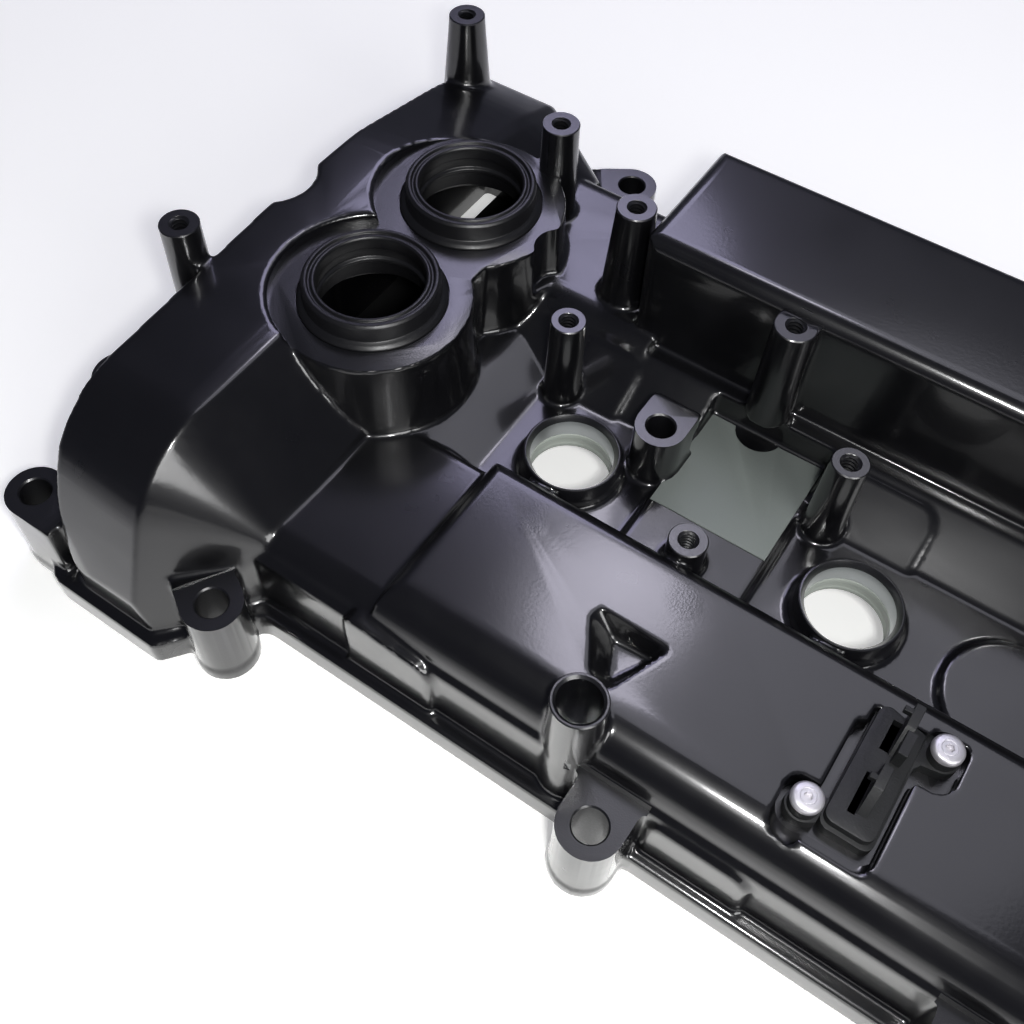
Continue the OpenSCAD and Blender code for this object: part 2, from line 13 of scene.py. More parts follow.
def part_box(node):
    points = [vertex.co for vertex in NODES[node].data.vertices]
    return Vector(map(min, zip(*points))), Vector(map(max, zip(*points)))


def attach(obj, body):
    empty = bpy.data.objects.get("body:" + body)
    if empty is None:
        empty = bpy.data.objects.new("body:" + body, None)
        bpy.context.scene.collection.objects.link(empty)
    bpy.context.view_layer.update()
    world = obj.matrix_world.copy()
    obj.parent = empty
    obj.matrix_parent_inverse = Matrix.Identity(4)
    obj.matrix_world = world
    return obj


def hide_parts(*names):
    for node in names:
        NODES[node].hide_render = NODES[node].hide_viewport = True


bl_info = {
    "name": "Engine valve cover",
    "version": (1, 0, 0),
    "blender": (4, 5, 0),
    "location": "View3D > Sidebar > Valve cover",
    "description": "Builds the cast skin, seals, baffles and harness clip of an engine valve cover",
    "category": "Add Mesh",
}

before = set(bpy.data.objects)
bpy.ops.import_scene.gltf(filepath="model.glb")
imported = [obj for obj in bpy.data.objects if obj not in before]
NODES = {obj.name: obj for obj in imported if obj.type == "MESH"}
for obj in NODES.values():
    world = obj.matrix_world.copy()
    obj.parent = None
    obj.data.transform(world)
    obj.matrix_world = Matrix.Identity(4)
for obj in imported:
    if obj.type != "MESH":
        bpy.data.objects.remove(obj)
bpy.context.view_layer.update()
MM = 0.001

# The layout is measured in millimetres from the axis of the first plug well
WELL_LOW, WELL_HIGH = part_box("plug_well_seal_1")
WELL_ONE = Vector(((WELL_LOW.x + WELL_HIGH.x) / 2, (WELL_LOW.y + WELL_HIGH.y) / 2, 0.0))
PLUG_PITCH = 96.0
# Tops of the tall posts, the coil posts, the lugs, the low box and the bare pad's platform
POST_TOP = 87.0
COIL_TOP = 68.0
LUG_TOP = 31.0
BOX_TOP = 46.0
PLATFORM_TOP = 36.2
# Threaded posts: x, y, top, radius of the machined end
POSTS = [
    (-122.4, 116, POST_TOP, 6.5),
    (-131, -26, POST_TOP, 6.5),
    (-60.8, 83.4, POST_TOP, 6.5),
    (-19.2, 62.5, POST_TOP, 6.5),
    (44.3, 45.5, POST_TOP, 6.5),
    (47.4, -12, 48, 6.1),
] + [(i * PLUG_PITCH - 19.4, 25, COIL_TOP, 5.7) for i in range(4)]
# M6 threads, drawn a little coarser and deeper than they are so that their turns show
THREAD_CREST_R = 2.5
THREAD_ROOT_R = 3.25
THREAD_PITCH = 1.45
THREAD_DEPTH = 14.0
# Bolt lugs: x, y, direction of the round end, distance back to the wall
LUGS = [
    (-135, -104.4, 180, 15),
    (-61.9, -102.6, -31.5, 8.8),
    (-54.3, 131.8, 33.5, 12),
    (349, -62, 0, 13.5),
    (349, 84, 0, 13.5),
] + [(66.7 + 104 * i, y, turn, 12.5) for i in range(3) for y, turn in ((-95.5, -90), (118, 90))]
LUG_R = 9.75
BOLT_R = 5.05
# Milled tabs behind the side lugs: half their width, then the front and the rear one's Y
TAB_HALF = 14.5
TABS = [(-94, -85.5), (108, 116.5)]
# Lug at the dome's end and lug in the plug strip: x, y, top
SIDE_LUG = (-136, -60, 45)
INNER_LUG = (21.3, 15.8, 54)
INNER_LUG_R = 8.2
INNER_BOLT_R = 4.5
# Plain tube: x, y, top, radius
TUBE = (50, -78, 58, 8.1)
TUBE_BORE_R = 6.4
TUBE_DEPTH = 34.0
# Cam valve housings and the rubber seals in them
VALVES = [(-75, -3), (-75, 51)]
VALVE_FACE = 69.8
VALVE_POCKET_R = 32.6
VALVE_SEAT_R = 24.4
VALVE_SEAT_DEPTH = 1.2
VALVE_HOLE_R = 22.2
VALVE_HOLE_DEPTH = 12.0
VALVE_SEAL_R = 21.9
VALVE_SEAL_BORE_R = 17.2
VALVE_SEAL_H = 8.2
# Raised rings of the plug wells, and the seats of their seals
RING_TOP = 42.0
RING_R = 15.6
RING_BORE_R = 13.4
WELL_LOW_Z = 27.0
WELL_SEAT_R = 16.15
WELL_SEAT_TOP = 33.65
# Tall box: foot of what is reshaped, then its left end, front, back and top
TALL_BOX_FOOT = 51.0
TALL_BOX = (-10.9, 51.3, 104.3, 88.0)
# Blocks that close the clip's pocket tightly round its plate: low and high corners
CLIP_POCKET_FILL = [
    ((110, -34, 36), (114.9, -22, 46)),
    ((110, -28.2, 36), (131, -22, 46)),
    ((130, -25.6, 36), (143, -22, 46)),
]
# Floor of the clip's pocket, and the places of its two screws
CLIP_FLOOR = 40.0
CLIP_SCREWS = [(110.4, -63.6), (135.3, -30.6)]
# Scuffs in the paint of the low box: x, y, width
SCUFFS = [(6.4, -32.8, 5), (6.2, -24.2, 6), (55, -30.1, 7)]
# Lamps: name, place and aim in millimetres, size in metres, power in watts, colour
LAMPS = [
    ("ceiling_lamp", (40, 880, 1600), (40, 0, 0), 1.1, 4.3, "#F2F2FF"),
    ("violet_lamp", (-271, 763, 1499), (34, -40, 46), 0.26, 1.5, "#F0ECFF"),
    ("window_lamp", (-640, 1090, 1330), (-20, 40, 60), 0.62, 4.2, "#DCD8FF"),
    ("lens_lamp", (124.7, -188, 337), (40, 0, 0), 0.03, 0.9, "#FFFFFF"),
    ("fill_lamp", (1500, -900, 1000), (60, 0, 0), 1.1, 20, "#FFFFFF"),
]
ROOM_COLOUR = "#8A8CA0"
TABLE_COLOUR = "#F4F4F0"
# Painted shade: colour of the dark sheets laid on the table under the dome
SHADE_COLOUR = "#0A0A0B"
# Camera: place in millimetres, then its three directions, lens in millimetres and shifts
CAMERA_PLACE = (97.875, -195.294, 329.590)
CAMERA_RIGHT = (0.8244, 0.5658, 0.0158)
CAMERA_DOWN = (0.4750, -0.6765, -0.5627)
CAMERA_AHEAD = (-0.3077, 0.4715, -0.8264)
CAMERA_LENS = 39.99
CAMERA_SHIFT = (0.0190, -0.00775)


def at(x, y, z=0.0):
    """Point in metres from millimetres measured from the first plug well's axis."""
    return WELL_ONE + Vector((x, y, z)) * MM


def linear(hex_colour):
    """Turns an sRGB hex colour into the linear values that shaders take."""
    parts = [int(hex_colour[i : i + 2], 16) / 255 for i in (1, 3, 5)]
    return [c / 12.92 if c <= 0.04045 else ((c + 0.055) / 1.055) ** 2.4 for c in parts]


def add_piece(name, bm, slot, *materials):
    """Makes an object from a bmesh, on the root body, with its materials. The slot is not used."""
    mesh = bpy.data.meshes.new(name)
    bm.to_mesh(mesh)
    bm.free()
    piece = bpy.data.objects.new(name, mesh)
    bpy.context.scene.collection.objects.link(piece)
    for material in materials:
        mesh.materials.append(material)
    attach(piece, "root")
    return piece


def shade(mesh, angle):
    """Smooth shading that stays sharp over edges steeper than the angle in degrees."""
    mesh.polygons.foreach_set("use_smooth", [True] * len(mesh.polygons))
    mesh.set_sharp_from_angle(angle=math.radians(angle))


# Materials


def node(tree, kind, x, y, settings=None, links=None):
    """Adds a shader node with its settings, its socket values and its incoming links."""
    made = tree.nodes.new(kind)
    made.location = (x, y)
    for key, value in (settings or {}).items():
        if isinstance(key, str) and hasattr(made, key):
            setattr(made, key, value)
        else:
            made.inputs[key].default_value = value
    for key, (source, output) in (links or {}).items():
        tree.links.new(source.outputs[output], made.inputs[key])
    return made


def new_material(name, colour, roughness, metallic=0.0):
    """Principled material from a linear colour, its plain values set on the shader's own sockets."""
    material = bpy.data.materials.new(name)
    material.use_nodes = True
    shader = material.node_tree.nodes["Principled BSDF"]
    shader.inputs["Base Color"].default_value = (*colour, 1)
    shader.inputs["Roughness"].default_value = roughness
    shader.inputs["Metallic"].default_value = metallic
    return material, material.node_tree, shader


def painted_casting(colour):
    """Satin black paint with a clear top coat over a die casting: a soft sheen, a fine orange peel
    and a few scuffs on top of the low box."""
    material, tree, shader = new_material("painted_die_casting", colour, 0.32)
    shader.inputs["Specular IOR Level"].default_value = 0.3
    shader.inputs["Coat Weight"].default_value = 1.0
    shader.inputs["Coat Roughness"].default_value = 0.12
    place = node(tree, "ShaderNodeTexCoord", -1300, 0)
    # Orange peel of the paint, about 1.2 mm from crest to crest
    peel = node(
        tree, "ShaderNodeTexNoise", -900, -200,
        {"Scale": 850.0, "Detail": 2.0, "Roughness": 0.5}, {"Vector": (place, "Object")},
    )
    height = peel
    # Scuffs: small patches, about 8 mm wide, where the peel stands up in 0.7 mm crumbs
    crumbs = node(
        tree, "ShaderNodeTexNoise", -900, -500,
        {"Scale": 1500.0, "Detail": 1.0}, {"Vector": (place, "Object")},
    )
    for i, (x, y, wide) in enumerate(SCUFFS):
        reach = node(
            tree, "ShaderNodeVectorMath", -1100, -700 - 200 * i,
            {"operation": "DISTANCE", 1: at(x, y, BOX_TOP)}, {0: (place, "Object")},
        )
        spot = node(
            tree, "ShaderNodeMapRange", -900, -700 - 200 * i,
            {"From Min": wide * MM, "From Max": 0.4 * wide * MM, "To Min": 0.0, "To Max": 4.0},
            {"Value": (reach, "Value")},
        )
        height = node(
            tree, "ShaderNodeMath", -600, -400 - 200 * i, {"operation": "MULTIPLY_ADD"},
            {0: (crumbs, "Fac"), 1: (spot, "Result"), 2: (height, "Fac" if height is peel else "Value")},
        )
    bump = node(
        tree, "ShaderNodeBump", -400, -200,
        {"Strength": 0.02, "Distance": 0.0004}, {"Height": (height, "Value")},
    )
    # Broad drift in the paint's gloss, about 25 mm wide
    drift = node(
        tree, "ShaderNodeTexNoise", -900, 200,
        {"Scale": 40.0, "Detail": 3.0, "Roughness": 0.6}, {"Vector": (place, "Object")},
    )
    gloss = node(
        tree, "ShaderNodeMapRange", -400, 200,
        {"From Min": 0.3, "From Max": 0.7, "To Min": 0.27, "To Max": 0.37}, {"Value": (drift, "Fac")},
    )
    tree.links.new(gloss.outputs["Result"], shader.inputs["Roughness"])
    for socket in ("Normal", "Coat Normal"):
        tree.links.new(bump.outputs["Normal"], shader.inputs[socket])
    return material


def grained(name, colour, roughness, metallic, grain, strength, coat=0.0):
    """Material with a fine grain in its surface, grain crests to the metre."""
    material, tree, shader = new_material(name, colour, roughness, metallic)
    shader.inputs["Coat Weight"].default_value = coat
    shader.inputs["Coat Roughness"].default_value = 0.2
    place = node(tree, "ShaderNodeTexCoord", -900, 0)
    texture = node(
        tree, "ShaderNodeTexNoise", -700, -200,
        {"Scale": grain, "Detail": 3.0}, {"Vector": (place, "Object")},
    )
    bump = node(
        tree, "ShaderNodeBump", -400, -200,
        {"Strength": strength, "Distance": 0.0003}, {"Height": (texture, "Fac")},
    )
    shades = node(
        tree, "ShaderNodeMapRange", -400, 200,
        {"From Min": 0.3, "From Max": 0.7, "To Min": roughness - 0.05, "To Max": roughness + 0.05},
        {"Value": (texture, "Fac")},
    )
    tree.links.new(shades.outputs["Result"], shader.inputs["Roughness"])
    for socket in ("Normal", "Coat Normal"):
        tree.links.new(bump.outputs["Normal"], shader.inputs[socket])
    return material


# Cast skin


def merged_copy(name):
    """Bmesh copy of a CAD node with its loose triangles joined."""
    bm = bmesh.new()
    bm.from_mesh(NODES[name].data)
    bmesh.ops.remove_doubles(bm, verts=bm.verts, dist=0.02 * MM)
    return bm


def rod(bm, x, y, low, high, r, segments=64):
    """Closed upright cylinder in a bmesh."""
    spot = Matrix.Translation(at(x, y, (low + high) / 2))
    bmesh.ops.create_cone(
        bm, cap_ends=True, segments=segments, radius1=r * MM, radius2=r * MM,
        depth=(high - low) * MM, matrix=spot,
    )


def block(bm, low, high):
    """Closed block between two corners."""
    low, high = at(*low), at(*high)
    made = bmesh.ops.create_cube(bm, size=1.0)
    bmesh.ops.scale(bm, vec=high - low, verts=made["verts"])
    bmesh.ops.translate(bm, vec=(low + high) / 2, verts=made["verts"])
    return made["verts"]


def raise_faces(bm, x, y, top, reach, lift):
    """Lifts the vertices of one machined face, so that the skin's fillet forms above it."""
    centre = at(x, y)
    for v in bm.verts:
        flat = math.hypot(v.co.x - centre.x, v.co.y - centre.y)
        if flat < reach * MM and abs(v.co.z - top * MM) < 0.05 * MM:
            v.co.z += lift * MM


def turned(bm, x, y, profile, steps=72, rise=0.0):
    """Closed solid turned about an upright axis from its (radius, height) points."""
    spot = at(x, y)
    verts = [bm.verts.new(spot + Vector((r, 0, z)) * MM) for r, z in profile]
    edges = [bm.edges.new(pair) for pair in zip(verts, verts[1:])]
    bmesh.ops.spin(
        bm, geom=verts + edges, cent=spot, axis=(0, 0, 1), angle=math.tau, steps=steps,
        dvec=(0, 0, rise * MM / steps), use_merge=not rise,
    )


def pour(made, bm):
    """Adds what one bmesh holds to another, and frees the first."""
    mesh = bpy.data.meshes.new("poured")
    made.to_mesh(mesh)
    made.free()
    bm.from_mesh(mesh)
    bpy.data.meshes.remove(mesh)


def threaded(bm, x, y, top, depth):
    """Closed screw that cuts a threaded hole: a row of teeth turned once while it rises a pitch."""
    made = bmesh.new()
    rows = int(depth / THREAD_PITCH) + 1
    low = top - depth
    profile = [(0, low)]
    for k in range(rows):
        z = low + k * THREAD_PITCH
        profile += [
            (THREAD_ROOT_R, z), (THREAD_ROOT_R, z + 0.15 * THREAD_PITCH),
            (THREAD_CREST_R, z + 0.4 * THREAD_PITCH), (THREAD_CREST_R, z + 0.75 * THREAD_PITCH),
        ]
    profile += [(THREAD_ROOT_R, low + rows * THREAD_PITCH), (0, low + rows * THREAD_PITCH)]
    turned(made, x, y, profile, 24, THREAD_PITCH)
    bmesh.ops.remove_doubles(made, verts=made.verts, dist=0.01 * MM)
    bmesh.ops.holes_fill(made, edges=[e for e in made.edges if e.is_boundary])
    pour(made, bm)


def tab_block(bm, x, y, turn, back, radius, low, high):
    """Closed block with one round end, as a cutter for a lug's milled top."""
    spot = Matrix.Translation(at(x, y, (low + high) / 2)) @ Matrix.Rotation(math.radians(turn), 4, "Z")
    made = bmesh.ops.create_cone(
        bm, cap_ends=True, segments=64, radius1=radius * MM, radius2=radius * MM,
        depth=(high - low) * MM, matrix=Matrix.Identity(4),
    )
    near = 0.01 * MM
    for v in made["verts"]:
        if v.co.x < -near:
            v.co.y = math.copysign(radius * MM, v.co.y) if abs(v.co.y) > near else v.co.y
            v.co.x = -back * MM
    bmesh.ops.remove_doubles(bm, verts=made["verts"], dist=near)
    kept = [v for v in made["verts"] if v.is_valid]
    bmesh.ops.transform(bm, matrix=spot, verts=kept)


def cutter_object(name, bm, material):
    """Hidden helper whose solids are cut from the skin, and whose finish the cut faces take."""
    bmesh.ops.remove_doubles(bm, verts=bm.verts, dist=0.001 * MM)
    bmesh.ops.recalc_face_normals(bm, faces=bm.faces)
    mesh = bpy.data.meshes.new(name)
    bm.to_mesh(mesh)
    bm.free()
    mesh.materials.append(material)
    helper = bpy.data.objects.new(name, mesh)
    bpy.context.scene.collection.objects.link(helper)
    return helper


def carve(piece, cutters):
    """Cuts each helper in turn from the piece and keeps the result as its mesh."""
    for cutter in cutters:
        cut = piece.modifiers.new(cutter.name, "BOOLEAN")
        cut.object = cutter
        cut.operation = "DIFFERENCE"
        cut.solver = "MANIFOLD"
        cut.material_mode = "TRANSFER"
    settle(piece)
    for cutter in cutters:
        bpy.data.objects.remove(cutter)


def settle(piece):
    """Applies the piece's modifiers to its mesh."""
    bpy.context.view_layer.update()
    graph = bpy.context.evaluated_depsgraph_get()
    made = bpy.data.meshes.new_from_object(piece.evaluated_get(graph))
    piece.modifiers.clear()
    old = piece.data
    piece.data = made
    bpy.data.meshes.remove(old)


def casting_blank(lift):
    """The CAD casting with its bores filled and its milled faces raised, ready to be softened."""
    blank = merged_copy("cover_casting")
    for v in blank.verts:
        if v.co.z < 0.05 * MM:
            v.co.z -= lift * MM
    stretch_tall_box(blank)
    filled = [(x, y, top, top - THREAD_DEPTH, r - 0.8) for x, y, top, r in POSTS]
    filled += [(*TUBE[:3], TUBE[2] - TUBE_DEPTH, TUBE[3] - 0.5)]
    filled += [(x, y, LUG_TOP, -lift, BOLT_R + 1) for x, y, turn, back in LUGS]
    filled += [(*SIDE_LUG, -lift, BOLT_R + 1), (*INNER_LUG, 0, INNER_BOLT_R + 1)]
    filled += [(x, y, top, VALVE_FACE - 10, r) for x, y, top, r in POSTS[2:3]]
    filled += [(i * PLUG_PITCH, 0, RING_TOP, WELL_LOW_Z, RING_R + 1) for i in range(4)]
    filled += [(x, y, VALVE_FACE, VALVE_FACE - VALVE_HOLE_DEPTH, VALVE_SEAT_R + 0.5) for x, y in VALVES]
    for low, high in CLIP_POCKET_FILL:
        block(blank, low, high)
    for x, y, top, low, r in filled:
        flare = 12 if top == LUG_TOP and 60 < x < 280 else 4.3
        raise_faces(blank, x, y, top, r + (7 if top > INNER_LUG[2] else flare), lift)
        rod(blank, x, y, low - 0.5, top + lift, r)
    return blank


def stretch_tall_box(blank):
    """Moves the tall box's left end and back out a little, to where the photograph shows them."""
    post = at(POSTS[3][0], POSTS[3][1])
    for v in blank.verts:
        x, y, z = (v.co - WELL_ONE) / MM
        if z < TALL_BOX_FOOT or math.hypot(v.co.x - post.x, v.co.y - post.y) < 9.3 * MM:
            continue
        rise = min((z - TALL_BOX_FOOT) / 20, 1)
        if -11.5 < x < 3 and y > 46:
            v.co.x -= 3.5 * rise * MM
        if x > -12 and y > 90:
            v.co.y += 3 * rise * MM


def round_edge(points, across, up, corner, sides, r, low, high):
    """Rounds an edge of the tall box: what stands outside a circle of radius r comes back to it.
    across and up are the two directions across the edge, low and high its reach along itself."""
    along = 3 - across - up
    for p in points:
        da = (p[across] - corner[0]) * sides[0] + r
        du = (p[up] - corner[1]) * sides[1] + r
        flat = math.hypot(da, du)
        if da > 0 and du > 0 and flat > r and low < p[along] < high:
            fade = min((p[along] - low) / 6, 1)
            pull = 1 + fade * (r / flat - 1)
            p[across] = corner[0] + sides[0] * (da * pull - r)
            p[up] = corner[1] + sides[1] * (du * pull - r)


def shape_skin(mesh):
    """Gives the tall box its large round edges."""
    post_x, post_y = POSTS[3][:2]
    box_verts, points = [], []
    for v in mesh.vertices:
        p = (v.co - WELL_ONE) / MM
        if not -12.5 < p.x < 325 or not 45 < p.y < 110 or p.z < TALL_BOX_FOOT:
            continue
        if math.hypot(p.x - post_x, p.y - post_y) > 8.2:
            box_verts.append(v)
            points.append(p)
    left, front, back, top = TALL_BOX
    round_edge(points, 1, 2, (front, top), (-1, 1), 5.5, -40, 330)
    round_edge(points, 1, 2, (back, top), (1, 1), 5.5, -40, 330)
    round_edge(points, 0, 2, (left, top), (-1, 1), 5, 40, 120)
    round_edge(points, 0, 1, (left, front), (-1, -1), 7, TALL_BOX_FOOT, 95)
    round_edge(points, 0, 1, (left, back), (-1, 1), 6, TALL_BOX_FOOT, 95)
    for v, p in zip(box_verts, points):
        v.co = WELL_ONE + p * MM


def face_mill():
    """Solids above the posts, the tube, the lugs, the plug rings and the first valve's face."""
    cut = bmesh.new()
    for x, y, top, r in POSTS + [TUBE]:
        bore = TUBE_BORE_R if (x, y) == TUBE[:2] else THREAD_CREST_R
        turned(cut, x, y, [
            (0, top - 0.9), (bore - 0.1, top - 0.9), (bore + 0.8, top), (r - 0.35, top),
            (r, top - 0.35), (r + 1.5, top - 0.35), (r + 1.5, top + 4), (0, top + 4),
        ], 64)
    for x, y, turn, back in LUGS:
        # The lug that runs into the dome is milled no wider than its own round end
        spare = 0.15 if back < 12 else 1.5
        tab_block(cut, x, y, turn, back, LUG_R + spare, LUG_TOP, LUG_TOP + 4)
    tab_block(cut, *SIDE_LUG[:2], 180, 11.5, 11, SIDE_LUG[2], SIDE_LUG[2] + 4)
    tab_block(cut, *INNER_LUG[:2], -90, 12, INNER_LUG_R + 1, INNER_LUG[2], INNER_LUG[2] + 4)
    for i in range(4):
        turned(cut, i * PLUG_PITCH, 0, [
            (0, RING_TOP), (RING_R - 0.6, RING_TOP), (RING_R - 0.2, RING_TOP - 0.15),
            (RING_R, RING_TOP - 0.5), (RING_R, PLATFORM_TOP + 0.6), (RING_R + 0.35, PLATFORM_TOP - 0.4),
            (RING_R + 1.2, PLATFORM_TOP - 1.2), (RING_R + 1.2, RING_TOP + 4), (0, RING_TOP + 4),
        ])
    rod(cut, *VALVES[0], VALVE_FACE, POST_TOP + 6, VALVE_POCKET_R, 128)
    return cut


def second_face_mill():
    """Solids above the second valve's face and the side lugs' tabs, and below the joint face."""
    cut = bmesh.new()
    rod(cut, *VALVES[1], VALVE_FACE, POST_TOP + 6, VALVE_POCKET_R, 128)
    post = at(*POSTS[2][:2])
    for v in cut.verts:
        away = Vector((v.co.x - post.x, v.co.y - post.y))
        if away.length < POSTS[2][3] * MM:
            v.co.x, v.co.y = post.xy + away.normalized() * POSTS[2][3] * MM
    for i in range(3):
        x = LUGS[5][0] + 104 * i
        for front, back in TABS:
            block(cut, (x - TAB_HALF, front, LUG_TOP), (x + TAB_HALF, back, LUG_TOP + 4))
    block(cut, (-300, -300, -10), (500, 300, 0))
    return cut


def waist_mill():
    """Solids above the waist between the two valve faces and in the harness clip's pocket."""
    cut = bmesh.new()
    outline = [(112.3, -39), (113.5, -34.7), (115, -33.3)] + arc(118.3, -31.5, 3.2, 180, 90)
    outline += [(126.5, -27.8), (129.8, -27.7)] + arc(*CLIP_SCREWS[1], 6.3, 150, -25, 12)
    outline += [(141.2, -38.8), (138.3, -40.1), (131.6, -42.1), (131.3, -44), (131.3, -66.8)]
    outline += [(129.2, -68.8), (116.2, -68.8)] + arc(*CLIP_SCREWS[0], 6.5, -55, -287, 16)
    slab(cut, outline, CLIP_FLOOR, BOX_TOP + 6, 0.3)
    block(cut, (-75, 10, VALVE_FACE), (-52.6, 38, POST_TOP))
    return cut


def drills():
    """Solids of the threaded holes, bolt holes, plug ring mouths, valve bores and tube."""
    cut = bmesh.new()
    for x, y, top, r in POSTS:
        threaded(cut, x, y, top, THREAD_DEPTH)
    holes = [(x, y, LUG_TOP, BOLT_R) for x, y, turn, back in LUGS]
    holes += [(*SIDE_LUG, BOLT_R), (*INNER_LUG, INNER_BOLT_R)]
    for x, y, top, r in holes:
        turned(cut, x, y, [
            (0, -3), (r + 0.5, -3), (r + 0.5, 0), (r, 0.5), (r, top - 0.5), (r + 0.5, top),
            (r + 0.5, top + 3), (0, top + 3),
        ])
    x, y, top, r = TUBE
    turned(cut, x, y, [
        (0, top - TUBE_DEPTH), (TUBE_BORE_R, top - TUBE_DEPTH), (TUBE_BORE_R, top + 1), (0, top + 1),
    ])
    for i in range(4):
        turned(cut, i * PLUG_PITCH, 0, [
            (0, RING_TOP - 2.6), (RING_BORE_R - 0.4, RING_TOP - 2.6), (RING_BORE_R, RING_TOP - 2),
            (RING_R - 0.8, RING_TOP), (RING_R - 0.8, RING_TOP + 3), (0, RING_TOP + 3),
        ])
    for x, y in VALVES:
        low = VALVE_FACE - VALVE_HOLE_DEPTH - 2
        seat = VALVE_FACE - VALVE_SEAT_DEPTH
        turned(cut, x, y, [
            (0, low), (VALVE_HOLE_R, low), (VALVE_HOLE_R, seat), (VALVE_SEAT_R, seat),
            (VALVE_SEAT_R, VALVE_FACE + 3), (0, VALVE_FACE + 3),
        ])
    return cut


def reamer():
    """Solids of the plug wells' bare bores and seal seats."""
    cut = bmesh.new()
    for i in range(4):
        turned(cut, i * PLUG_PITCH, 0, [
            (0, WELL_LOW_Z - 2), (WELL_SEAT_R, WELL_LOW_Z - 2), (WELL_SEAT_R, WELL_SEAT_TOP),
            (RING_BORE_R, WELL_SEAT_TOP), (RING_BORE_R, RING_TOP + 2), (0, RING_TOP + 2),
        ])
    return cut


class VALVECOVER_OT_casting(Operator):
    """Cast skin: the CAD casting with as-cast fillets, milled faces, threads and bores"""

    bl_idname = "valvecover.casting"
    bl_label = "Casting"

    def execute(self, context):
        sizes = context.scene.valvecover_casting
        paint, milled, bare = (bpy.data.materials[name] for name in (
            "painted_die_casting", "coated_milled_casting", "bare_bored_aluminium",
        ))
        skin = add_piece("cast_skin", casting_blank(sizes.lift / MM), "painted_casting", paint, milled, bare)
        remesh = skin.modifiers.new("skin", "REMESH")
        remesh.mode = "VOXEL"
        remesh.voxel_size = sizes.voxel
        soften = skin.modifiers.new("soften", "SMOOTH")
        soften.factor = 0.5
        soften.iterations = sizes.soften
        settle(skin)
        shape_skin(skin.data)
        thin = skin.modifiers.new("thin", "DECIMATE")
        thin.ratio = sizes.thin
        carve(skin, [
            cutter_object("face_mill", face_mill(), milled),
            cutter_object("second_face_mill", second_face_mill(), milled),
            cutter_object("waist_mill", waist_mill(), milled),
            cutter_object("drills", drills(), milled),
            cutter_object("reamer", reamer(), bare),
        ])
        shade(skin.data, 35)
        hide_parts("cover_casting")
        return {"FINISHED"}


# Turned and moulded pieces


def turned_ring(name, x, y, profile, soft, slot, material, steps=96):
    """Ring turned from a closed (radius, height) outline whose corners are rounded first."""
    bm = bmesh.new()
    spot = at(x, y)
    bm.faces.new([bm.verts.new(spot + Vector((r, 0, z)) * MM) for r, z in profile])
    bmesh.ops.bevel(
        bm, geom=bm.verts[:], offset=soft * MM, affect="VERTICES", segments=3, profile=0.5,
        material=-1, clamp_overlap=True,
    )
    bmesh.ops.delete(bm, geom=bm.faces[:], context="FACES_ONLY")
    bmesh.ops.spin(
        bm, geom=bm.verts[:] + bm.edges[:], cent=spot, axis=(0, 0, 1), angle=math.tau,
        steps=steps, use_merge=True,
    )
    bmesh.ops.remove_doubles(bm, verts=bm.verts, dist=0.001 * MM)
    bmesh.ops.recalc_face_normals(bm, faces=bm.faces)
    piece = add_piece(name, bm, slot, material)
    shade(piece.data, 30)
    return piece


class VALVECOVER_OT_seals(Operator):
    """Rubber seals of the cam valves and plug wells, and the joint gasket"""

    bl_idname = "valvecover.seals"
    bl_label = "Seals"

    def execute(self, context):
        rubber = bpy.data.materials["moulded_black_rubber"]
        pale = bpy.data.materials["moulded_grey_rubber"]
        r, b, h = VALVE_SEAL_R, VALVE_SEAL_BORE_R, VALVE_SEAL_H
        valve_seal = [
            (b + 1.6, -9), (r + 0.15, -9), (r + 0.15, -1.2), (r + 2.2, -1.2), (r + 2.2, 0.4),
            (r + 1.2, 1.3), (r, 2.0), (r, h - 0.9), (r - 0.8, h), (r - 1.9, h), (r - 2.2, h - 0.9),
            (r - 3.0, h - 0.9), (r - 3.3, h - 0.2), (b + 0.5, h - 0.2), (b, h - 0.9), (b, 3.4),
            (b + 1, 2.8), (b + 1, -0.6), (b, -1.2), (b, -2.6), (b + 1.6, -3.6),
        ]
        for i, (x, y) in enumerate(VALVES):
            profile = [(radius, VALVE_FACE + z) for radius, z in valve_seal]
            ring = turned_ring("valve_seal_ring_%d" % (i + 1), x, y, profile, 0.28, "seal_rubber", rubber)
            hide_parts("cam_valve_seal_%d" % (i + 1))
        b, low = RING_BORE_R - 0.2, WELL_LOW_Z
        well_seal = [
            (b, low + 0.4), (b + 1.6, low + 0.4), (WELL_SEAT_R - 0.65, low + 0.4),
            (WELL_SEAT_R - 0.15, low + 0.9), (WELL_SEAT_R - 0.15, low + 6.5), (b, low + 6.5),
            (b, low + 4.6), (b + 0.25, low + 4.2), (b + 0.25, low + 2.2), (b, low + 1.8),
        ]
        # The plug seals' pale grey is a painted reflection of the white table in the wells
        for i in range(4):
            ring = turned_ring(
                "plug_seal_ring_%d" % (i + 1), i * PLUG_PITCH, 0, well_seal, 0.2, "seal_rubber", pale,
            )
            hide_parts("plug_well_seal_%d" % (i + 1))
        NODES["perimeter_gasket"].data.materials.clear()
        NODES["perimeter_gasket"].data.materials.append(rubber)
        return {"FINISHED"}


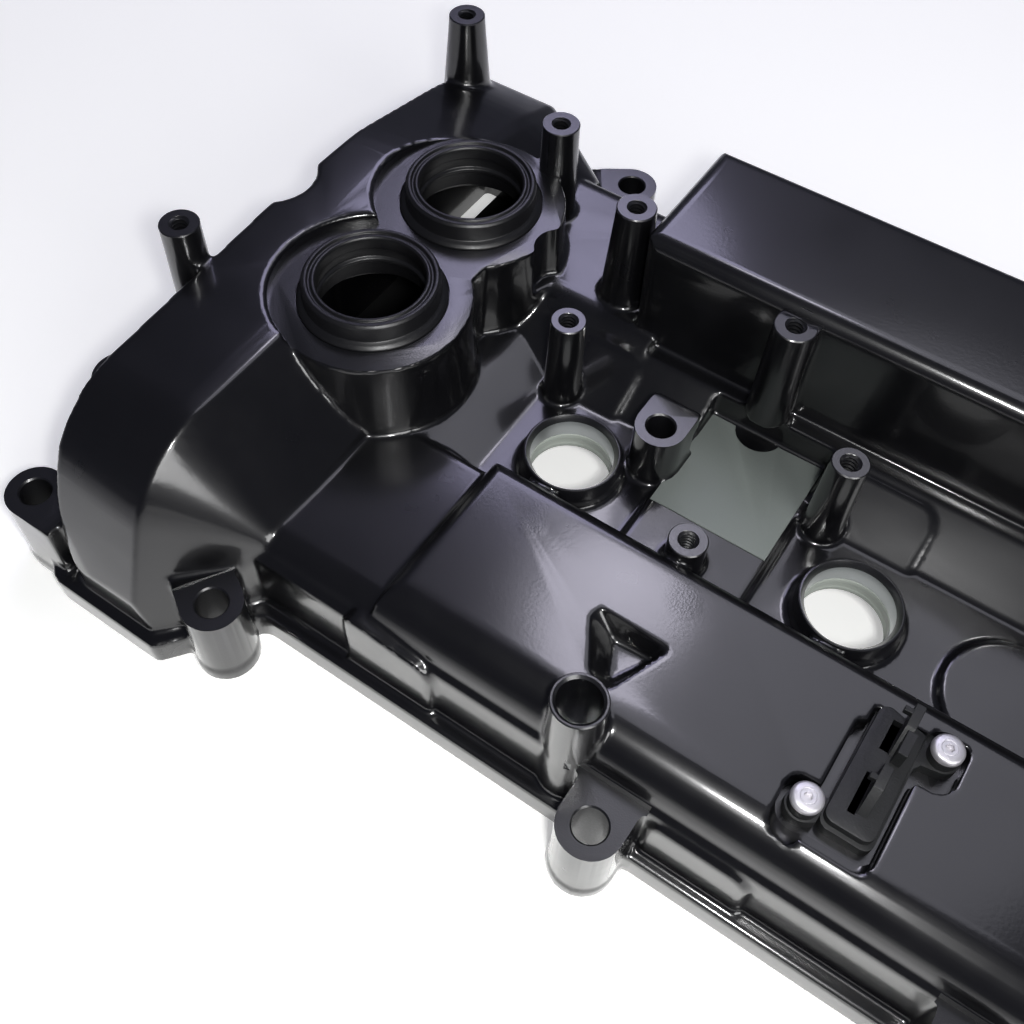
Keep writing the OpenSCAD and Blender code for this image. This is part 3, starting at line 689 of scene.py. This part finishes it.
def socket_screw(bm, x, y, z, up, head, socket, shaft):
    """Button-head screw with a hexagon socket. head holds the (radius, height) points of the
    head's outside, socket its (radius, depth) and shaft its (radius, length)."""
    spot = at(x, y, z)
    size, depth = socket
    crown = head[0][1]
    profile = [(0, crown - depth), (size, crown - depth), (size, crown)] + head
    profile += [(shaft[0], 0), (shaft[0], 0.5 - shaft[1]), (shaft[0] - 0.5, -shaft[1]), (0, -shaft[1])]
    made = bmesh.new()
    verts = [made.verts.new(Vector((r, 0, height * up)) * MM) for r, height in profile]
    edges = [made.edges.new(pair) for pair in zip(verts, verts[1:])]
    bmesh.ops.spin(
        made, geom=verts + edges, cent=(0, 0, 0), axis=(0, 0, 1), angle=math.tau, steps=48, use_merge=True,
    )
    bmesh.ops.remove_doubles(made, verts=made.verts, dist=0.001 * MM)
    for v in made.verts:
        flat = math.hypot(v.co.x, v.co.y)
        inside = 0.1 * MM < flat < (size + 0.05) * MM and v.co.z * up > (crown - depth - 0.01) * MM
        if inside:
            turn = math.atan2(v.co.y, v.co.x) % (math.pi / 3) - math.pi / 6
            v.co.x *= math.cos(math.pi / 6) / math.cos(turn)
            v.co.y *= math.cos(math.pi / 6) / math.cos(turn)
    bmesh.ops.recalc_face_normals(made, faces=made.faces)
    bmesh.ops.translate(made, vec=spot, verts=made.verts)
    pour(made, bm)


def baffle_screws_at(plate):
    """Places of a baffle plate's eight screws, read from the plate's box."""
    low, high = ((corner - WELL_ONE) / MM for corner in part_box(plate))
    return [
        (low.x + 9 + (high.x - low.x - 18) * i / 3, y)
        for i in range(4) for y in (low.y + 6.5, high.y - 6.5)
    ]


def pressed_plate(name, node_name, depth):
    """Oil baffle with pressed beads: its CAD plate, cut into strips and drawn down between them."""
    low, high = ((corner - WELL_ONE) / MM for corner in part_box(node_name))
    bm = merged_copy(node_name)
    bmesh.ops.dissolve_limit(bm, angle_limit=math.radians(1), verts=bm.verts, edges=bm.edges)
    lines = [(low.y + 11 + k * 1.75, (0, 1, 0)) for k in range(int((high.y - low.y - 22) / 1.75) + 1)]
    lines += [(low.x + 12 + k * 4.0, (1, 0, 0)) for k in range(int((high.x - low.x - 24) / 4.0) + 1)]
    for where, normal in lines:
        bmesh.ops.bisect_plane(
            bm, geom=bm.verts[:] + bm.edges[:] + bm.faces[:], dist=0.001 * MM,
            plane_co=at(where, where), plane_no=normal,
        )
    wide = (high.y - low.y - 22) / 2
    middle = (low.y + high.y) / 2
    for v in bm.verts:
        x, y, z = (v.co - WELL_ONE) / MM
        across = max(0.0, 1 - abs((y - middle) / wide))
        along = abs(((x - low.x) / 48.0) % 1 - 0.5) * 2
        ends = min(max((x - low.x - 16) / 8, 0), max((high.x - 16 - x) / 8, 0), 1)
        bead = min(across * 4, 1) * min(max((0.9 - along) * 6, 0), 1) * ends
        v.co.z -= depth * bead * MM
    piece = add_piece(name, bm, "baffle_steel", bpy.data.materials["zinc_plated_sheet_steel"])
    shade(piece.data, 40)
    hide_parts(node_name)


class VALVECOVER_OT_baffles(Operator):
    """Pressed oil baffles under the two boxes, with their screws"""

    bl_idname = "valvecover.baffles"
    bl_label = "Oil baffles"

    def execute(self, context):
        depth = context.scene.valvecover_details.bead / MM
        steel = bpy.data.materials["zinc_plated_sheet_steel"]
        for side in ("front", "rear"):
            plate = side + "_baffle_plate"
            pressed_plate(side + "_pressed_plate", plate, depth)
            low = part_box(plate)[0].z / MM
            screws = bmesh.new()
            for x, y in baffle_screws_at(plate):
                head = [(2.6, 2.4), (3.4, 2.1), (4.0, 1.4), (4.2, 0.5), (4.2, 0)]
                socket_screw(screws, x, y, low, -1, head, (1.7, 1.4), (1.9, 8.5))
            piece = add_piece(side + "_screw_set", screws, "screw_steel", steel)
            shade(piece.data, 35)
            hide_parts(side + "_baffle_screws")
        return {"FINISHED"}


def slab(bm, outline, low, high, soft):
    """Closed upright slab from its (x, y) outline, with its upper edges rounded."""
    face = bm.faces.new([bm.verts.new(at(x, y, low)) for x, y in outline])
    drawn = bmesh.ops.extrude_face_region(bm, geom=[face])
    top = [v for v in drawn["geom"] if isinstance(v, bmesh.types.BMVert)]
    bmesh.ops.translate(bm, vec=(0, 0, (high - low) * MM), verts=top)
    edges = [e for e in drawn["geom"] if isinstance(e, bmesh.types.BMEdge)]
    bmesh.ops.recalc_face_normals(bm, faces=bm.faces)
    bmesh.ops.bevel(
        bm, geom=edges, offset=soft * MM, affect="EDGES", segments=2, profile=0.5, material=-1,
        clamp_overlap=True,
    )


def fin(bm, x0, x1, side, soft=0.15):
    """Upright fin across X from its (y, z) outline, with its edges eased."""
    before = set(bm.verts)
    face = bm.faces.new([bm.verts.new(at(x0, y, z)) for y, z in side])
    drawn = bmesh.ops.extrude_face_region(bm, geom=[face])
    far = [v for v in drawn["geom"] if isinstance(v, bmesh.types.BMVert)]
    bmesh.ops.translate(bm, vec=((x1 - x0) * MM, 0, 0), verts=far)
    edges = {e for v in set(bm.verts) - before for e in v.link_edges}
    bmesh.ops.bevel(
        bm, geom=list(edges), offset=soft * MM, affect="EDGES", segments=1, profile=0.5,
        material=-1, clamp_overlap=True,
    )


def arc(x, y, r, start, end, steps=8):
    """Points of an arc about (x, y), from one direction to another in degrees."""
    turns = [math.radians(start + (end - start) * k / steps) for k in range(steps + 1)]
    return [(x + r * math.cos(t), y + r * math.sin(t)) for t in turns]


class VALVECOVER_OT_clip(Operator):
    """Harness clip with its three hooks, and its two button screws"""

    bl_idname = "valvecover.clip"
    bl_label = "Harness clip"

    def execute(self, context):
        nylon = bpy.data.materials["moulded_black_nylon"]
        base = CLIP_FLOOR
        top = BOX_TOP + 0.6
        plate = bmesh.new()
        outline = arc(118.3, -63.2, 3, 180, 270) + arc(127.2, -63.2, 3, 270, 360)
        outline += [(130.2, -38.5), (131.5, -36.2)] + arc(*CLIP_SCREWS[1], 4.9, -80, 90, 12)
        outline += [(130, -26.6)] + arc(119, -29.2, 3.5, 90, 180) + [(115.5, -58.4), (113.2, -58.6)]
        outline += arc(*CLIP_SCREWS[0], 4.9, 60, 300, 14) + [(115.2, -66.2)]
        slab(plate, outline, base, top - 2.6, 0.3)
        inner = arc(118.6, -61.9, 3, 180, 270) + arc(126.4, -61.9, 3, 270, 360)
        inner += [(129.4, -36.0), (129.4, -29.0)] + arc(118.8, -29.5, 3, 90, 180)
        slab(plate, inner, base + 1, top, 0.35)
        body = add_piece("clip_body", plate, "clip_plastic", nylon)
        slots = bmesh.new()
        for x0, x1, y0, y1 in ((120.2, 122.8, -39.5, -29.6), (120.2, 122.4, -60, -47.2)):
            block(slots, (x0, y0, top - 3), (x1, y1, top + 2))
        carve(body, [cutter_object("slots", slots, nylon)])
        hooks = bmesh.new()
        high = BOX_TOP + 8
        fin(hooks, 122.9, 125.6, [(-41, top - 1), (-33.3, high), (-25.8, high), (-25.8, top - 1)])
        fin(hooks, 120.7, 123.1, [(-29.6, high - 2.2), (-29.6, high), (-28, high), (-28, high - 2.2)])
        fin(hooks, 124, 126.8, [(-41.7, top - 1), (-41.7, high), (-34.3, high), (-34.3, top - 1)])
        fin(hooks, 122.5, 125.3, [(-60, top - 1), (-53.6, high), (-46.4, high), (-46.4, top - 1)])
        fin(hooks, 120.6, 122.7, [(-51.8, high - 2.2), (-51.8, high), (-50.2, high), (-50.2, high - 2.2)])
        for x, y in CLIP_SCREWS:
            turned(hooks, x, y, [
                (0, base + 1), (4.4, base + 1), (4.2, top + 0.6), (3.9, top + 0.9), (0, top + 0.9),
            ], 48)
        bmesh.ops.recalc_face_normals(hooks, faces=hooks.faces)
        hooks.from_mesh(body.data)
        hooks.to_mesh(body.data)
        hooks.free()
        shade(body.data, 30)
        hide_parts("harness_clip")
        screws = bmesh.new()
        for x, y in CLIP_SCREWS:
            head = [
                (2.0, 2.45), (2.15, 2.3), (2.3, 2.45), (3.6, 2.4),
                (4.1, 2.1), (4.45, 1.4), (4.5, 0.4), (4.3, 0),
            ]
            socket_screw(screws, x, y, top + 0.9, 1, head, (1.3, 2.2), (2, 10))
        bright = bpy.data.materials["bright_button_screws"]
        piece = add_piece("clip_button_screws", screws, "screw_steel", bright)
        shade(piece.data, 35)
        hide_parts("harness_clip_screws")
        return {"FINISHED"}


class VALVECOVER_OT_bare_pad(Operator):
    """Bare matte rectangle on the platform, notched round the post behind it"""

    bl_idname = "valvecover.bare_pad"
    bl_label = "Bare pad"

    def execute(self, context):
        pad = bmesh.new()
        x0, x1, y0, y1 = 27.9, 67.9, 2.2, 43.6
        notch = arc(44.3, 45.5, 8.0, -15, -165, 12)
        outline = [(x0, y0), (x1, y0), (x1, y1)] + notch + [(x0, y1)]
        slab(pad, outline, PLATFORM_TOP - 0.6, PLATFORM_TOP + 0.45, 0.15)
        piece = add_piece("bare_pad", pad, "painted_casting", bpy.data.materials["matte_grey_pad"])
        shade(piece.data, 30)
        return {"FINISHED"}


class VALVECOVER_OT_finishes(Operator):
    """Materials of the casting, rubber, steel and plastic"""

    bl_idname = "valvecover.finishes"
    bl_label = "Finishes"

    def execute(self, context):
        colours = context.scene.valvecover_colours
        painted_casting(colours.paint)
        # Milled casting under the black coat: flat, with a fine glittering grain of about 0.5 mm
        grained("coated_milled_casting", colours.milled, 0.36, 0.0, 2000.0, 0.12, 1.0)
        # Bored aluminium without paint: pale grey with a soft metal sheen and 0.5 mm tool marks
        grained("bare_bored_aluminium", colours.bore, 0.38, 1.0, 2000.0, 0.1)
        # Moulded rubber: black, with a low sheen and a 0.8 mm skin texture
        grained("moulded_black_rubber", colours.rubber, 0.38, 0.0, 1200.0, 0.08)
        # Moulded rubber of the plug seals, smooth and a little glossy, coloured pale grey as a painted
        # reflection of the white table in the wells
        grained("moulded_grey_rubber", colours.plug_seal, 0.45, 0.0, 1200.0, 0.06)
        # Zinc plated sheet steel: bright grey with a 1 mm spangle
        grained("zinc_plated_sheet_steel", colours.steel, 0.32, 1.0, 1000.0, 0.06)
        # Turned button screws: bright plated steel with 0.4 mm tool marks
        grained("bright_button_screws", colours.screws, 0.45, 0.8, 2500.0, 0.2)
        # Nylon: matte near-black plastic with a spark-eroded grain of about 0.6 mm
        grained("moulded_black_nylon", colours.nylon, 0.55, 0.0, 1600.0, 0.3)
        # Matte grey area left bare on the platform, with a 0.7 mm grain
        grained("matte_grey_pad", colours.pad, 0.6, 0.0, 1400.0, 0.1)
        return {"FINISHED"}


class VALVECOVER_OT_stage(Operator):
    """Pale floor, soft lamps and the camera at the photograph's angle"""

    bl_idname = "valvecover.stage"
    bl_label = "Stage"

    def execute(self, context):
        scene = context.scene
        scene.view_settings.view_transform = "Standard"
        lay_floor("floor", (-1800, -1800), (2200, 1800), -0.2, "white_table", TABLE_COLOUR, 0.4)
        # Painted shade: dark sheets on the table under the dome stand in for the shade that shows through
        # the valve holes
        lay_floor("shaded_floor", (-126, -79), (-45, 103), -0.1, "shaded_table", SHADE_COLOUR, 0.0)
        lay_floor("shaded_floor_rear", (-114, 103), (-54, 128), -0.1, "shaded_table_rear", SHADE_COLOUR, 0.0)
        for name, place, aim, size, power, colour in LAMPS:
            data = bpy.data.lights.new(name, "AREA")
            data.shape = "DISK"
            data.size = size
            data.energy = power
            data.color = linear(colour)
            lamp = bpy.data.objects.new(name, data)
            lamp.location = at(*place)
            lamp.rotation_euler = (at(*aim) - at(*place)).to_track_quat("-Z", "Y").to_euler()
            scene.collection.objects.link(lamp)
        world = bpy.data.worlds.new("studio")
        world.use_nodes = True
        background = world.node_tree.nodes["Background"]
        background.inputs["Color"].default_value = (*linear(ROOM_COLOUR), 1)
        background.inputs["Strength"].default_value = scene.valvecover_details.fill
        scene.world = world
        data = bpy.data.cameras.new("photo_camera")
        data.sensor_width = 36.0
        data.lens = CAMERA_LENS
        data.shift_x, data.shift_y = CAMERA_SHIFT
        data.clip_start = 0.01
        axes = (Vector(CAMERA_RIGHT), -Vector(CAMERA_DOWN), -Vector(CAMERA_AHEAD))
        camera = bpy.data.objects.new("photo_camera", data)
        turn = Matrix(axes).transposed().to_4x4()
        camera.matrix_world = Matrix.Translation(at(*CAMERA_PLACE)) @ turn
        scene.collection.objects.link(camera)
        scene.camera = camera
        return {"FINISHED"}


def lay_floor(name, low, high, z, material_name, colour, glow):
    """Flat sheet of the stage. Where it glows, it is white to the camera and pale in reflections
    close to the cover."""
    sheet = bmesh.new()
    sheet.faces.new([
        sheet.verts.new(at(x, y, z)) for x, y in (low, (high[0], low[1]), high, (low[0], high[1]))
    ])
    mesh = bpy.data.meshes.new(name)
    sheet.to_mesh(mesh)
    sheet.free()
    piece = bpy.data.objects.new(name, mesh)
    bpy.context.scene.collection.objects.link(piece)
    material, tree, shader = new_material(material_name, linear(colour), 0.6)
    mesh.materials.append(material)
    rays = node(tree, "ShaderNodeLightPath", -1100, 0)
    # Seen directly the table glows evenly, and in the paint only the stretch near the cover does
    place = node(tree, "ShaderNodeTexCoord", -1300, -300)
    folded = node(
        tree, "ShaderNodeVectorMath", -1150, -300, {"operation": "ABSOLUTE"}, {0: (place, "Object")},
    )
    beyond = node(
        tree, "ShaderNodeVectorMath", -1000, -300,
        {"operation": "SUBTRACT", 1: (0.24, 0.12, 0)}, {0: (folded, "Vector")},
    )
    outside = node(
        tree, "ShaderNodeVectorMath", -850, -300,
        {"operation": "MAXIMUM", 1: (0, 0, 0)}, {0: (beyond, "Vector")},
    )
    reach = node(
        tree, "ShaderNodeVectorMath", -700, -300, {"operation": "LENGTH"}, {0: (outside, "Vector")},
    )
    near = node(
        tree, "ShaderNodeMapRange", -550, -300,
        {
            "interpolation_type": "SMOOTHSTEP", "From Min": 0.0, "From Max": 0.16,
            "To Min": glow * 1.25, "To Max": 0.0,
        },
        {"Value": (reach, "Value")},
    )
    mirrored = node(
        tree, "ShaderNodeMath", -700, -200, {"operation": "MAXIMUM"},
        {0: (rays, "Is Glossy Ray"), 1: (rays, "Is Transmission Ray")},
    )
    faint = node(
        tree, "ShaderNodeMath", -500, -200, {"operation": "MULTIPLY"},
        {0: (mirrored, "Value"), 1: (near, "Result")},
    )
    strength = node(
        tree, "ShaderNodeMath", -300, 0, {"operation": "MULTIPLY_ADD", 1: glow},
        {0: (rays, "Is Camera Ray"), 2: (faint, "Value")},
    )
    shader.inputs["Emission Color"].default_value = (1, 1, 1, 1)
    tree.links.new(strength.outputs["Value"], shader.inputs["Emission Strength"])


def length(name, description, default):
    """Property that holds a small length."""
    return FloatProperty(
        name=name, description=description, default=default * MM, min=0.0, precision=5,
        subtype="DISTANCE", unit="LENGTH",
    )


def tint(name, description, hex_colour):
    """Property that holds a colour, written as sRGB hex."""
    return FloatVectorProperty(
        name=name, description=description, default=linear(hex_colour), min=0.0, max=1.0, size=3,
        subtype="COLOR",
    )


class CastingSizes(PropertyGroup):
    """Sizes of the cast skin"""

    voxel: length("Grain", "Fineness of the cast skin", 0.85)
    lift: length("Stock", "Stock left on the faces before they are milled", 1.6)
    soften: IntProperty(name="Soften", description="Passes that round the cast edges", default=6, min=0)
    thin: FloatProperty(
        name="Thin", description="Share of the skin's faces that is kept", default=0.105, min=0.01, max=1.0,
        subtype="FACTOR",
    )


class DetailSizes(PropertyGroup):
    """Sizes of the smaller pieces and strength of the room's light"""

    bead: length("Bead", "Depth of the baffles' pressed beads", 1.6)
    fill: FloatProperty(name="Fill", description="Strength of the room's light", default=0.25, min=0.0)


class FinishColours(PropertyGroup):
    """Colours of the materials"""

    paint: tint("Paint", "Satin paint of the casting", "#09090B")
    milled: tint("Milled faces", "Coat over the milled faces", "#0C0C0F")
    bore: tint("Bores", "Bare bored aluminium", "#B4B8B8")
    rubber: tint("Rubber", "Rubber of the valve seals and the gasket", "#101012")
    # Pale grey of the plug seals: painted reflection of the white table in the wells
    plug_seal: tint("Plug seals", "Rubber of the plug seals", "#9EA49C")
    steel: tint("Steel", "Zinc plated baffles and their screws", "#B9BBBC")
    screws: tint("Button screws", "Plated screws of the harness clip", "#D6D4D8")
    nylon: tint("Nylon", "Plastic of the harness clip", "#131415")
    pad: tint("Bare pad", "Matte area on the platform", "#6C726E")


class VALVECOVER_PT_panel(Panel):
    """Lists the pieces of the valve cover"""

    bl_label = "Valve cover"
    bl_space_type = "VIEW_3D"
    bl_region_type = "UI"
    bl_category = "Valve cover"

    def draw(self, context):
        scene = context.scene
        for group in (scene.valvecover_casting, scene.valvecover_details, scene.valvecover_colours):
            for key in group.__annotations__:
                self.layout.prop(group, key)
        for step in STEPS:
            self.layout.operator(step)


STEPS = [
    "valvecover.finishes",
    "valvecover.casting",
    "valvecover.seals",
    "valvecover.baffles",
    "valvecover.clip",
    "valvecover.bare_pad",
    "valvecover.stage",
]
CLASSES = [
    CastingSizes,
    DetailSizes,
    FinishColours,
    VALVECOVER_OT_finishes,
    VALVECOVER_OT_casting,
    VALVECOVER_OT_seals,
    VALVECOVER_OT_baffles,
    VALVECOVER_OT_clip,
    VALVECOVER_OT_bare_pad,
    VALVECOVER_OT_stage,
    VALVECOVER_PT_panel,
]


def register():
    for cls in CLASSES:
        bpy.utils.register_class(cls)
    bpy.types.Scene.valvecover_casting = PointerProperty(type=CastingSizes)
    bpy.types.Scene.valvecover_details = PointerProperty(type=DetailSizes)
    bpy.types.Scene.valvecover_colours = PointerProperty(type=FinishColours)


def unregister():
    del bpy.types.Scene.valvecover_casting
    del bpy.types.Scene.valvecover_details
    del bpy.types.Scene.valvecover_colours
    for cls in reversed(CLASSES):
        bpy.utils.unregister_class(cls)


def main():
    register()
    bpy.ops.valvecover.finishes()
    bpy.ops.valvecover.casting()
    bpy.ops.valvecover.seals()
    bpy.ops.valvecover.baffles()
    bpy.ops.valvecover.clip()
    bpy.ops.valvecover.bare_pad()
    bpy.ops.valvecover.stage()


if __name__ == "__main__":
    main()
